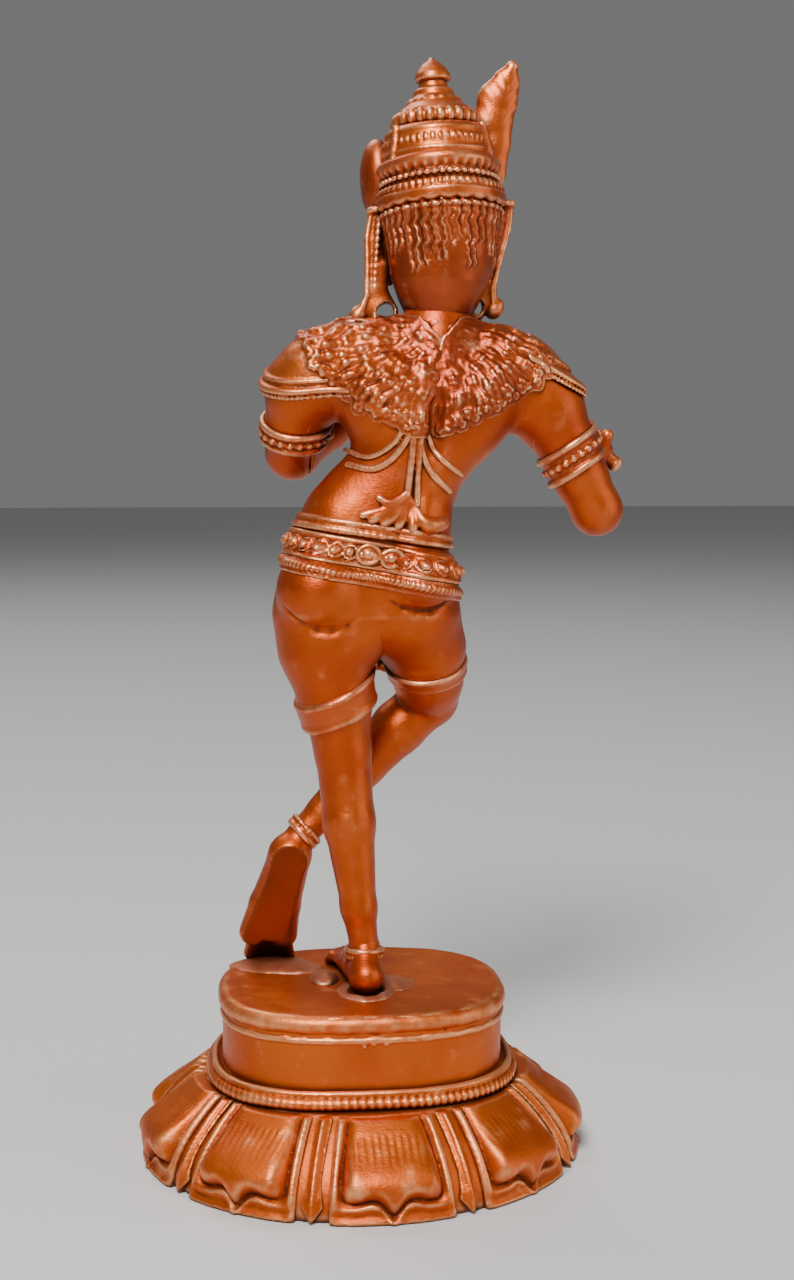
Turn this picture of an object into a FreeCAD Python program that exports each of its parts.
import FreeCAD, Part
import math
import os

# A small cast copper figure of a flute player, standing in a triple bend on an oval plinth
# and a lotus base. Millimetres. The origin is the centre of the base's underside, +Z is up,
# the figure faces -Y and its left side is +X.

os.makedirs("parts", exist_ok=True)

# --- driving dimensions -------------------------------------------------------------------
PEDESTAL_HEIGHT = 20.0
FIGURE_HEIGHT = 108.0

BASE_HALF_WIDTH = 26.6
BASE_DEPTH_RATIO = 0.92
LOTUS_HEIGHT = 9.6
LOTUS_TOP_HALF_WIDTH = 18.6
PETAL_COUNT = 9
FIRST_PETAL = 93.7
PETAL_THICKNESS = 0.8
PETAL_WIDTH = 12.2
SMALL_PETAL_WIDTH = 3.0

PLINTH_HALF_WIDTH = 16.5
PLINTH_DEPTH_RATIO = 0.87
PLINTH_SQUARENESS = 2.6
LIP_HEIGHT = 2.6
LIP_OVERHANG = 0.5
COLLAR_HEIGHT = 2.2

# The figure is laid out in angulas, the image maker's unit: a standing figure is nine face
# lengths tall with its crown, and a face length is twelve angulas.
ANGULA = FIGURE_HEIGHT / 108

# --- skeleton: x to the figure's left, y to its back, z above the plinth, in angulas --------
LEFT_HIP = (4.6, 0.4, 43.5)
LEFT_KNEE = (2.2, 0.6, 28.6)
LEFT_CALF = (1.7, 1.5, 21.5)
LEFT_ANKLE = (-0.2, 2.8, 4.6)
LEFT_HEEL = (-0.2, 5.2, 2.0)
LEFT_TOES = (1.6, -8.6, 1.1)

RIGHT_HIP = (-6.6, -0.2, 43.5)
RIGHT_KNEE = (-9.2, -7.4, 31.2)
RIGHT_CALF = (-3.4, -6.9, 26.2)
RIGHT_ANKLE = (6.8, -5.6, 16.8)
RIGHT_HEEL = (8.6, -4.9, 14.4)
RIGHT_BALL = (10.9, -7.3, 4.0)
RIGHT_TOES = (11.2, -9.2, 1.2)

LEFT_SHOULDER = (5.9, -0.4, 71.6)
LEFT_ELBOW = (7.6, -5.4, 62.6)
LEFT_WRIST = (-5.2, -14.6, 72.0)
LEFT_PALM = (-9.8, -15.2, 74.4)

RIGHT_SHOULDER = (-20.8, -0.2, 70.0)
RIGHT_ELBOW = (-28.0, -1.0, 56.0)
RIGHT_WRIST = (-30.2, -13.2, 59.6)
RIGHT_PALM = (-30.6, -15.6, 62.6)

NECK_BASE = (-9.0, -0.8, 76.8)
NECK_LENGTH = 5.0
HEAD_CENTRE = (-9.5, -2.4, 86.0)
HEAD_ROLL = 3.4
HEAD_NOD = 2.0

FLUTE_TOP = (-5.4, -10.7, 86.0)
FLUTE_FOOT = (-33.6, -13.6, 61.0)
FLUTE_RADIUS = 1.05
FINGER_SPACING = 0.065

FOREARM_RADIUS = 2.7
WRIST_RADIUS = 1.6


def at(x, y, z):
    """A point of the figure, from angulas above the plinth to millimetres."""
    return FreeCAD.Vector(x * ANGULA, y * ANGULA, PEDESTAL_HEIGHT + z * ANGULA)


def between(a, b, share):
    """The point that lies a share of the way from a to b."""
    return tuple(start + (end - start) * share for start, end in zip(a, b))


# --- plain shapes ---------------------------------------------------------------------------
def ball(centre, radius):
    return Part.makeSphere(radius * ANGULA, at(*centre))


def rod(start, end, start_radius, end_radius):
    """A tapered round bar with a ball on each end."""
    first = at(*start)
    last = at(*end)
    run = last - first
    r0 = start_radius * ANGULA
    r1 = end_radius * ANGULA
    if abs(r0 - r1) < 1e-4:
        core = Part.makeCylinder(r0, run.Length, first, run)
    else:
        core = Part.makeCone(r0, r1, run.Length, first, run)
    return core.fuse([Part.makeSphere(r0, first), Part.makeSphere(r1, last)])


def limb(points, radii):
    """Bars joined end to end along the points."""
    bars = []
    for index in range(len(points) - 1):
        bars.append(rod(points[index], points[index + 1], radii[index], radii[index + 1]))
    return bars[0].fuse(bars[1:]) if len(bars) > 1 else bars[0]


def stretched(shape, centre, factors):
    """The shape, made about the origin, stretched along X, Y and Z and moved to the centre."""
    matrix = FreeCAD.Matrix()
    matrix.scale(FreeCAD.Vector(*factors))
    result = shape.transformGeometry(matrix)
    result.translate(centre)
    return result


def ellipsoid(centre, radii):
    factors = [radius * ANGULA for radius in radii]
    return stretched(Part.makeSphere(1.0), at(*centre), factors)


def sleeve(start, end, start_radius, end_radius, share, width, thickness=0.7):
    """A ring that fits round a tapered bar, centred at a share of its length."""
    length = (at(*end) - at(*start)).Length / ANGULA
    low = share - width / 2 / length
    high = share + width / 2 / length
    low_radius = start_radius + (end_radius - start_radius) * low
    high_radius = start_radius + (end_radius - start_radius) * high
    foot = at(*between(start, end, low))
    run = at(*between(start, end, high)) - foot
    radii = [radius * ANGULA for radius in (low_radius, high_radius)]
    outside = [radius + thickness * ANGULA for radius in radii]
    ring = Part.makeCone(outside[0], outside[1], run.Length, foot, run)
    return ring.cut(Part.makeCone(radii[0], radii[1], run.Length, foot, run))


def body_section(z, x, y, half_width, half_depth):
    """A level oval through the trunk."""
    plane = Part.Ellipse(at(x, y, z), half_width * ANGULA, half_depth * ANGULA)
    return Part.Wire([plane.toShape()])


def trunk(sections):
    return Part.makeLoft([body_section(*section) for section in sections], True, False)


def hoop(centre, half_width, half_depth, height, roll):
    """A flat oval slab round the hips, which becomes a belt when the hips are cut from it."""
    edge = Part.Ellipse(FreeCAD.Vector(0, 0, 0), half_width * ANGULA, half_depth * ANGULA).toShape()
    slab = Part.Face(Part.Wire([edge])).extrude(FreeCAD.Vector(0, 0, height * ANGULA))
    slab.translate(FreeCAD.Vector(0, 0, -height * ANGULA / 2))
    slab.rotate(FreeCAD.Vector(0, 0, 0), FreeCAD.Vector(0, 1, 0), -roll)
    slab.translate(at(*centre))
    return slab


# --- pedestal -------------------------------------------------------------------------------
def oval_wire(half_width, depth_ratio, z, squareness):
    """A closed smooth oval: 2 is an ellipse and more is squarer."""
    count = 32
    points = []
    for step in range(count):
        angle = 2 * math.pi * (step + 0.5) / count
        across = math.cos(angle)
        along = math.sin(angle)
        x = math.copysign(abs(across) ** (2 / squareness), across) * half_width
        y = math.copysign(abs(along) ** (2 / squareness), along) * half_width * depth_ratio
        points.append(FreeCAD.Vector(x, y, z))
    curve = Part.BSplineCurve()
    curve.interpolate(Points=points, PeriodicFlag=True)
    return Part.Wire([curve.toShape()])


def lotus_dome(grow):
    """The domed body under the petals, grown outwards by a given amount."""
    levels = [
        (0.0, BASE_HALF_WIDTH - 1.5),
        (0.12 * LOTUS_HEIGHT, BASE_HALF_WIDTH - 1.0),
        (0.45 * LOTUS_HEIGHT, BASE_HALF_WIDTH - 2.2),
        (0.78 * LOTUS_HEIGHT, BASE_HALF_WIDTH - 4.9),
        (LOTUS_HEIGHT, LOTUS_TOP_HALF_WIDTH),
    ]
    wires = [oval_wire(width + grow, BASE_DEPTH_RATIO, z, 2.1) for z, width in levels]
    return Part.makeLoft(wires, True, False)


def petal_prism(angle, width, foot, head):
    """A bar through the dome's wall with a petal's outline: a flat head and a pointed foot."""
    half = width / 2
    shoulder = foot + 0.45 * (head - foot)
    corner = FreeCAD.Vector(0, half, head)
    side = FreeCAD.Vector(0, half, shoulder)
    curve_point = FreeCAD.Vector(0, 0.62 * half, foot + 0.1 * (head - foot))
    tip = FreeCAD.Vector(0, 0, foot)
    mirrored = FreeCAD.Vector(0, -0.62 * half, curve_point.z)
    other_side = FreeCAD.Vector(0, -half, shoulder)
    other_corner = FreeCAD.Vector(0, -half, head)
    edges = [
        Part.makeLine(corner, side),
        Part.Arc(side, curve_point, tip).toShape(),
        Part.Arc(tip, mirrored, other_side).toShape(),
        Part.makeLine(other_side, other_corner),
        Part.makeLine(other_corner, corner),
    ]
    prism = Part.Face(Part.Wire(edges)).extrude(FreeCAD.Vector(2 * BASE_HALF_WIDTH, 0, 0))
    prism.rotate(FreeCAD.Vector(0, 0, 0), FreeCAD.Vector(0, 0, 1), angle)
    return prism


def petals(width, foot, head, first_angle):
    """One ring of petals, each a separate solid lying on the dome."""
    skin = lotus_dome(PETAL_THICKNESS).cut(lotus_dome(0.0))
    pieces = []
    for index in range(PETAL_COUNT):
        angle = first_angle + 360 / PETAL_COUNT * index
        pieces += skin.common(petal_prism(angle, width, foot, head)).Solids
    return Part.makeCompound(pieces)


def oval_slab(half_width, bottom, top, rounding):
    """An upright oval slab with rounded edges."""
    wire = oval_wire(half_width, PLINTH_DEPTH_RATIO, bottom, PLINTH_SQUARENESS)
    slab = Part.Face(wire).extrude(FreeCAD.Vector(0, 0, top - bottom))
    if rounding > 0:
        rims = [edge for edge in slab.Edges if edge.BoundBox.ZLength < 1e-3]
        slab = slab.makeFillet(rounding, rims)
    return slab


def pedestal(nodes):
    plinth_top = PEDESTAL_HEIGHT - LIP_HEIGHT
    petal_gap = 180 / PETAL_COUNT
    head = LOTUS_HEIGHT - 0.5
    nodes["lotus_base"] = lotus_dome(0.0)
    nodes["lotus_petals"] = petals(PETAL_WIDTH, 0.5, head, FIRST_PETAL)
    nodes["small_petals"] = petals(SMALL_PETAL_WIDTH, 0.3, 0.7 * head, FIRST_PETAL + petal_gap)
    nodes["oval_plinth"] = oval_slab(PLINTH_HALF_WIDTH, LOTUS_HEIGHT, plinth_top, 0)
    collar_top = LOTUS_HEIGHT + COLLAR_HEIGHT
    collar = oval_slab(LOTUS_TOP_HALF_WIDTH - 0.1, LOTUS_HEIGHT, collar_top, 0.45 * COLLAR_HEIGHT)
    nodes["beaded_collar"] = collar.cut(nodes["oval_plinth"])
    middle = plinth_top + LIP_HEIGHT / 2
    lower_roll = oval_slab(PLINTH_HALF_WIDTH + LIP_OVERHANG, plinth_top, middle, 0.4 * LIP_HEIGHT / 2)
    upper_roll = oval_slab(PLINTH_HALF_WIDTH + LIP_OVERHANG / 2, middle, PEDESTAL_HEIGHT, 0.5)
    nodes["plinth_lip"] = lower_roll.fuse(upper_roll)


# --- legs -----------------------------------------------------------------------------------
def legs(nodes):
    mid_thigh = between(LEFT_HIP, LEFT_KNEE, 0.5)
    mid_shin = between(LEFT_CALF, LEFT_ANKLE, 0.55)
    nodes["left_thigh"] = limb([LEFT_HIP, mid_thigh, LEFT_KNEE], [5.9, 4.9, 3.2])
    nodes["left_shin"] = limb([LEFT_KNEE, LEFT_CALF, mid_shin, LEFT_ANKLE], [3.1, 3.5, 2.9, 1.9])
    foot = limb([LEFT_HEEL, between(LEFT_HEEL, LEFT_TOES, 0.55), LEFT_TOES], [1.9, 2.0, 1.1])
    nodes["left_foot"] = foot.fuse(rod(LEFT_ANKLE, LEFT_HEEL, 1.9, 1.9))
    nodes["left_knee_bands"] = rings(mid_thigh, LEFT_KNEE, 4.9, 3.2, (0.33, 0.72), 1.4)
    nodes["left_anklet"] = sleeve(mid_shin, LEFT_ANKLE, 2.9, 1.9, 0.9, 1.1)

    mid_thigh = between(RIGHT_HIP, RIGHT_KNEE, 0.5)
    nodes["right_thigh"] = limb([RIGHT_HIP, mid_thigh, RIGHT_KNEE], [5.3, 4.6, 3.4])
    nodes["right_shin"] = limb([RIGHT_KNEE, RIGHT_CALF, RIGHT_ANKLE], [3.1, 3.1, 1.8])
    foot = limb([RIGHT_ANKLE, RIGHT_HEEL, RIGHT_BALL, RIGHT_TOES], [1.8, 2.0, 1.9, 1.1])
    toe_line = between(RIGHT_BALL, RIGHT_TOES, 0.8)
    little_toe = (toe_line[0] + 1.9, toe_line[1], toe_line[2])
    big_toe = (toe_line[0] - 1.9, toe_line[1], toe_line[2])
    spread = [rod(RIGHT_BALL, little_toe, 1.6, 1.1), rod(RIGHT_BALL, big_toe, 1.6, 1.2)]
    nodes["right_foot"] = foot.fuse(spread)
    nodes["right_knee_bands"] = rings(mid_thigh, RIGHT_KNEE, 4.6, 3.4, (0.2, 0.45), 1.2)
    nodes["right_anklet"] = sleeve(RIGHT_CALF, RIGHT_ANKLE, 3.1, 1.8, 0.92, 1.1)


def rings(start, end, start_radius, end_radius, shares, width):
    """Separate rings along one tapered bar."""
    pieces = [sleeve(start, end, start_radius, end_radius, share, width) for share in shares]
    return Part.makeCompound(pieces)


def brazing(nodes):
    """The low beads of brazing metal that hold the two feet to the plinth."""
    nodes["left_foot_braze"] = ellipsoid((-0.6, 2.8, 0.0), (3.4, 5.2, 0.8))
    nodes["right_foot_braze"] = ellipsoid((11.0, -8.8, 0.0), (5.0, 2.9, 0.8))


# --- trunk ----------------------------------------------------------------------------------
HIP_SECTIONS = [
    (37.5, -0.9, 0.0, 7.6, 4.6),
    (40.5, -0.8, 0.0, 10.1, 6.0),
    (44.0, -0.6, 0.2, 10.9, 6.5),
    (48.0, -0.9, 0.2, 10.4, 6.1),
    (51.5, -1.4, 0.2, 9.5, 5.6),
]
CHEST_SECTIONS = [
    (51.5, -1.4, 0.2, 9.5, 5.6),
    (55.0, -2.2, 0.2, 8.9, 5.2),
    (58.0, -3.6, 0.1, 8.2, 5.0),
    (61.5, -6.0, 0.0, 8.5, 5.2),
    (66.0, -7.8, 0.0, 10.3, 5.8),
    (70.5, -8.0, 0.0, 12.4, 5.8),
    (74.0, -8.4, 0.0, 12.4, 4.8),
    (NECK_BASE[2], -8.8, -0.2, 7.4, 3.6),
]


def trunk_parts(nodes):
    hips = trunk(HIP_SECTIONS)
    hips = hips.fuse(ellipsoid((5.2, 3.6, 46.0), (4.9, 4.6, 4.7)))
    hips = hips.fuse(ellipsoid((-6.4, 3.6, 46.2), (4.7, 4.4, 3.9)))
    nodes["hips"] = hips
    nodes["torso"] = trunk(CHEST_SECTIONS)
    nodes["neck"] = Part.makeCone(3.6 * ANGULA, 3.2 * ANGULA, NECK_LENGTH * ANGULA, at(*NECK_BASE))


def girdles(nodes):
    """Cords, belts and sashes round the hips, higher on the figure's left."""
    nodes["upper_cord"] = hoop((-1.5, 0.2, 53.4), 9.9, 6.2, 1.4, 10.3)
    nodes["jewelled_belt"] = hoop((-0.9, 0.3, 51.0), 10.8, 7.1, 2.6, 12.1)
    nodes["rope_belt"] = hoop((-0.6, 0.4, 48.3), 11.3, 7.7, 1.7, 13.5)
    nodes["rear_clasp"] = ellipsoid((-1.6, 7.2, 50.9), (2.6, 0.7, 1.2))
    nodes["front_clasp"] = ellipsoid((-0.9, -6.9, 51.0), (2.2, 1.0, 1.9))
    nodes["rear_sash"] = ellipsoid((-4.5, 5.1, 55.8), (3.6, 1.4, 1.9))
    drape = Part.makeCone(1.6 * ANGULA, 2.9 * ANGULA, 12.6 * ANGULA, at(-0.9, -6.0, 49.6), FreeCAD.Vector(0, 0, -1))
    nodes["front_sash"] = drape


# --- arms -----------------------------------------------------------------------------------
def hand(wrist, palm, fingertips, thumb_tip):
    """A palm with four separate bent fingers and a thumb, all one casting."""
    shape = rod(wrist, palm, 1.5, 1.7)
    for knuckle, tip in fingertips:
        shape = shape.fuse(limb([palm, knuckle, tip], [1.1, 0.8, 0.6]))
    return shape.fuse(rod(palm, thumb_tip, 0.9, 0.65))


def flute_point(share):
    return between(FLUTE_TOP, FLUTE_FOOT, share)


def fingers_round_flute(first_share):
    """Knuckle and tip of each finger, in front of the flute and over it."""
    fingers = []
    for index in range(4):
        x, y, z = flute_point(first_share + FINGER_SPACING * index)
        knuckle = (x - 0.2, y - 2.1, z + 0.6)
        tip = (x + 0.4, y - 0.6, z + 1.9)
        fingers.append((knuckle, tip))
    return fingers


def arms(nodes):
    nodes["flute"] = rod(FLUTE_TOP, FLUTE_FOOT, FLUTE_RADIUS, FLUTE_RADIUS)

    nodes["left_upper_arm"] = rod(LEFT_SHOULDER, LEFT_ELBOW, 4.0, 3.1)
    nodes["left_forearm"] = rod(LEFT_ELBOW, LEFT_WRIST, FOREARM_RADIUS, WRIST_RADIUS)
    thumb = flute_point(0.24)
    thumb_tip = (thumb[0] + 0.6, thumb[1] + 0.6, thumb[2] - 1.8)
    nodes["left_hand"] = hand(LEFT_WRIST, LEFT_PALM, fingers_round_flute(0.24), thumb_tip)
    nodes["left_armlet"] = rings(LEFT_SHOULDER, LEFT_ELBOW, 4.0, 3.1, (0.5, 0.68), 1.5)
    nodes["left_bracelet"] = rings(LEFT_ELBOW, LEFT_WRIST, FOREARM_RADIUS, WRIST_RADIUS, (0.82, 0.92), 1.0)

    nodes["right_upper_arm"] = rod(RIGHT_SHOULDER, RIGHT_ELBOW, 4.3, 2.9)
    nodes["right_forearm"] = rod(RIGHT_ELBOW, RIGHT_WRIST, FOREARM_RADIUS, WRIST_RADIUS)
    thumb = flute_point(0.84)
    thumb_tip = (thumb[0] - 0.2, thumb[1] + 1.4, thumb[2] - 1.2)
    nodes["right_hand"] = hand(RIGHT_WRIST, RIGHT_PALM, fingers_round_flute(0.72), thumb_tip)
    nodes["right_armlet"] = rings(RIGHT_SHOULDER, RIGHT_ELBOW, 4.3, 2.9, (0.46, 0.57, 0.69), 1.5)
    nodes["right_bracelet"] = rings(RIGHT_ELBOW, RIGHT_WRIST, FOREARM_RADIUS, WRIST_RADIUS, (0.8, 0.91), 1.0)


# --- ornaments on the trunk -----------------------------------------------------------------
def ornaments(nodes):
    nodes["left_shoulder_ornament"] = ellipsoid((7.4, -0.2, 73.0), (3.9, 4.6, 2.9))
    nodes["right_shoulder_ornament"] = ellipsoid((-22.4, -0.2, 72.2), (3.9, 4.6, 2.9))
    necklace = Part.makeTorus(5.6 * ANGULA, 0.9 * ANGULA, at(-8.9, -1.6, 74.6), FreeCAD.Vector(0, -0.45, 1))
    nodes["necklace"] = necklace
    cord_path = [(-8.4, 5.4, 72.0), (-6.4, 6.0, 66.0), (-5.8, 5.3, 61.0), (-5.3, 5.1, 56.5)]
    nodes["back_cord"] = limb(cord_path, [0.6, 0.6, 0.6, 0.6])
    loops = [
        limb([(1.6, 4.2, 68.0), (-0.4, 5.4, 64.2), (-6.9, 5.8, 66.6)], [0.55, 0.55, 0.55]),
        limb([(-17.4, 4.0, 67.0), (-14.0, 5.0, 63.2), (-8.2, 5.8, 67.6)], [0.55, 0.55, 0.55]),
    ]
    nodes["side_cords"] = Part.makeCompound(loops)


# --- head and crown -------------------------------------------------------------------------
def on_head(shape):
    """Tips a shape made about the head's centre and sets it on the neck."""
    origin = FreeCAD.Vector(0, 0, 0)
    shape.rotate(origin, FreeCAD.Vector(1, 0, 0), HEAD_NOD)
    shape.rotate(origin, FreeCAD.Vector(0, 1, 0), HEAD_ROLL)
    shape.translate(at(*HEAD_CENTRE))
    return shape


def head_ellipsoid(centre, radii):
    factors = [radius * ANGULA for radius in radii]
    place = FreeCAD.Vector(*centre) * ANGULA
    return on_head(stretched(Part.makeSphere(1.0), place, factors))


def head_bar(start, end, start_radius, end_radius):
    first = FreeCAD.Vector(*start) * ANGULA
    last = FreeCAD.Vector(*end) * ANGULA
    run = last - first
    core = Part.makeCone(start_radius * ANGULA, end_radius * ANGULA, run.Length, first, run)
    caps = [Part.makeSphere(start_radius * ANGULA, first), Part.makeSphere(end_radius * ANGULA, last)]
    return on_head(core.fuse(caps))


def turned(profile):
    """A solid of revolution about the crown's axis, from radius and height pairs."""
    points = [FreeCAD.Vector(radius * ANGULA, 0, height * ANGULA) for radius, height in profile]
    points.append(points[0])
    face = Part.Face(Part.makePolygon(points))
    return on_head(face.revolve(FreeCAD.Vector(0, 0, 0), FreeCAD.Vector(0, 0, 1), 360))


CROWN_TIERS = {
    "crown_band": [(0, 5.0), (7.6, 5.0), (8.0, 5.7), (7.9, 8.2), (7.4, 8.9), (0, 8.9)],
    "crown_roll": [(0, 8.9), (7.2, 8.9), (7.7, 9.6), (7.6, 10.3), (7.1, 10.9), (0, 10.9)],
    "crown_panels": [(0, 10.9), (6.9, 10.9), (6.1, 14.6), (0, 14.6)],
    "gadroon_ring": [(0, 14.6), (4.9, 14.6), (5.4, 15.2), (5.3, 16.0), (4.8, 16.5), (0, 16.5)],
    "crown_top": [(0, 16.5), (4.2, 16.5), (4.0, 17.5), (3.1, 18.1), (2.9, 19.1), (0, 19.1)],
    "crown_finial": [(0, 19.1), (1.3, 19.1), (2.2, 19.7), (1.9, 20.3), (0.8, 21.0), (0.5, 21.6), (0, 22.2)],
}


def head_parts(nodes):
    skull = head_bar((0, 1.0, 1.6), (0, -0.8, 0.8), 5.9, 5.8)
    jaw = head_bar((0, -1.8, -1.8), (0, -3.0, -3.8), 4.3, 3.3)
    nose = head_bar((0, -6.2, 1.2), (0, -6.9, -1.0), 0.5, 0.8)
    ears = [head_bar((side * 5.9, -0.4, 0.6), (side * 5.8, -0.4, -2.4), 1.0, 0.9) for side in (-1, 1)]
    nodes["head"] = skull.fuse([jaw, nose] + ears)
    nodes["hair_cap"] = head_bar((0, 1.8, 2.0), (0, 2.2, -1.2), 7.0, 6.2)
    for name, profile in CROWN_TIERS.items():
        nodes[name] = turned(profile)
    nodes["peacock_feather"] = head_bar((-6.6, -1.5, 11.0), (-8.4, -1.5, 17.2), 1.3, 2.0).fuse(
        head_bar((-8.4, -1.5, 17.2), (-9.6, -1.5, 21.4), 2.0, 0.45))
    nodes["crown_side_knot"] = head_ellipsoid((8.2, -2.2, 9.0), (1.5, 2.2, 3.2))
    nodes["left_ear_pendant"] = head_bar((7.7, -0.6, 4.4), (7.3, 0.4, -6.8), 0.75, 1.1)
    nodes["right_ear_pendant"] = head_bar((-7.7, -0.6, 4.4), (-7.5, 0.4, -6.8), 0.75, 1.1)


def hair_locks(nodes):
    """Loose locks that fan out from the nape over each shoulder and the upper back."""
    nape = (-8.9, 3.2, 77.0)
    left_ends = [(3.6, 4.0, 75.0), (3.2, 5.3, 72.4), (1.4, 6.3, 70.0), (-1.6, 6.8, 67.8), (-4.8, 7.0, 66.4)]
    right_ends = [(-22.0, 3.6, 74.2), (-21.6, 4.6, 71.6), (-19.4, 5.6, 69.0), (-16.2, 6.4, 67.0), (-12.4, 6.9, 66.0)]
    for side, ends in (("left", left_ends), ("right", right_ends)):
        locks = [limb([nape, between(nape, end, 0.55), end], [1.3, 1.5, 1.1]) for end in ends]
        nodes[side + "_hair_locks"] = locks[0].fuse(locks[1:])


# --- fitting the pieces together --------------------------------------------------------------
# Each piece is cut back from the ones named after it, so that neighbours meet face to face.
FITS = [
    ("left_foot_braze", ["plinth_lip", "left_foot"]),
    ("right_foot_braze", ["plinth_lip", "right_foot"]),
    ("left_foot", ["plinth_lip", "left_shin"]),
    ("right_foot", ["plinth_lip", "right_shin"]),
    ("left_foot_braze", ["left_foot"]),
    ("right_foot_braze", ["right_foot"]),
    ("left_thigh", ["hips"]),
    ("right_thigh", ["hips", "left_thigh"]),
    ("left_shin", ["left_thigh"]),
    ("right_shin", ["right_thigh", "left_shin"]),
    ("left_knee_bands", ["left_shin", "right_thigh", "right_shin"]),
    ("right_knee_bands", ["left_thigh", "left_knee_bands", "right_shin"]),
    ("left_anklet", ["left_foot", "left_foot_braze"]),
    ("right_anklet", ["right_foot", "left_shin"]),
    ("torso", ["hips"]),
    ("jewelled_belt", ["hips", "torso"]),
    ("upper_cord", ["hips", "torso", "jewelled_belt"]),
    ("rope_belt", ["hips", "jewelled_belt", "left_thigh", "right_thigh"]),
    ("rear_clasp", ["jewelled_belt", "hips", "upper_cord", "rope_belt"]),
    ("front_clasp", ["jewelled_belt", "hips", "torso", "upper_cord", "rope_belt"]),
    ("front_sash", ["hips", "jewelled_belt", "rope_belt", "front_clasp", "left_thigh", "right_thigh",
                    "right_knee_bands"]),
    ("rear_sash", ["torso", "hips", "upper_cord", "jewelled_belt"]),
    ("neck", ["head"]),
    ("left_upper_arm", ["torso"]),
    ("right_upper_arm", ["torso"]),
    ("left_forearm", ["left_upper_arm", "torso"]),
    ("right_forearm", ["right_upper_arm"]),
    ("left_hand", ["left_forearm", "flute"]),
    ("right_hand", ["right_forearm", "flute"]),
    ("left_armlet", ["left_forearm", "torso"]),
    ("right_armlet", ["torso"]),
    ("left_bracelet", ["left_hand"]),
    ("right_bracelet", ["right_hand"]),
    ("left_shoulder_ornament", ["torso", "left_upper_arm"]),
    ("right_shoulder_ornament", ["torso", "right_upper_arm"]),
    ("necklace", ["torso", "neck"]),
    ("head", ["crown_band"]),
    ("hair_cap", ["head", "neck", "crown_band"]),
    ("left_ear_pendant", ["crown_band", "hair_cap", "head"]),
    ("right_ear_pendant", ["crown_band", "hair_cap", "head"]),
    ("peacock_feather", ["crown_roll", "crown_panels", "gadroon_ring", "crown_top"]),
    ("crown_side_knot", ["crown_band", "crown_roll", "crown_panels", "left_ear_pendant"]),
    ("left_hair_locks", ["torso", "neck", "hair_cap", "left_upper_arm", "left_shoulder_ornament",
                         "necklace", "left_ear_pendant"]),
    ("right_hair_locks", ["torso", "neck", "hair_cap", "right_upper_arm", "right_shoulder_ornament",
                          "necklace", "right_ear_pendant", "left_hair_locks"]),
    ("back_cord", ["torso", "upper_cord", "rear_sash", "left_hair_locks", "right_hair_locks"]),
    ("side_cords", ["torso", "left_upper_arm", "right_upper_arm", "back_cord", "left_hair_locks",
                    "right_hair_locks"]),
]
SMALLEST_PIECE = 0.4


def fit_together(nodes):
    for name, neighbours in FITS:
        solids = []
        for solid in nodes[name].Solids:
            rest = solid.cut([nodes[neighbour] for neighbour in neighbours])
            solids += [piece for piece in rest.Solids if piece.Volume > SMALLEST_PIECE]
        nodes[name] = Part.makeCompound(solids) if len(solids) > 1 else solids[0]


def main():
    nodes = {}
    pedestal(nodes)
    legs(nodes)
    brazing(nodes)
    trunk_parts(nodes)
    girdles(nodes)
    arms(nodes)
    ornaments(nodes)
    head_parts(nodes)
    hair_locks(nodes)
    fit_together(nodes)
    for name, shape in nodes.items():
        shape.exportStep("parts/" + name + ".step")
        print(name, len(shape.Solids), "solids", round(shape.Volume, 1), "mm3")



main()
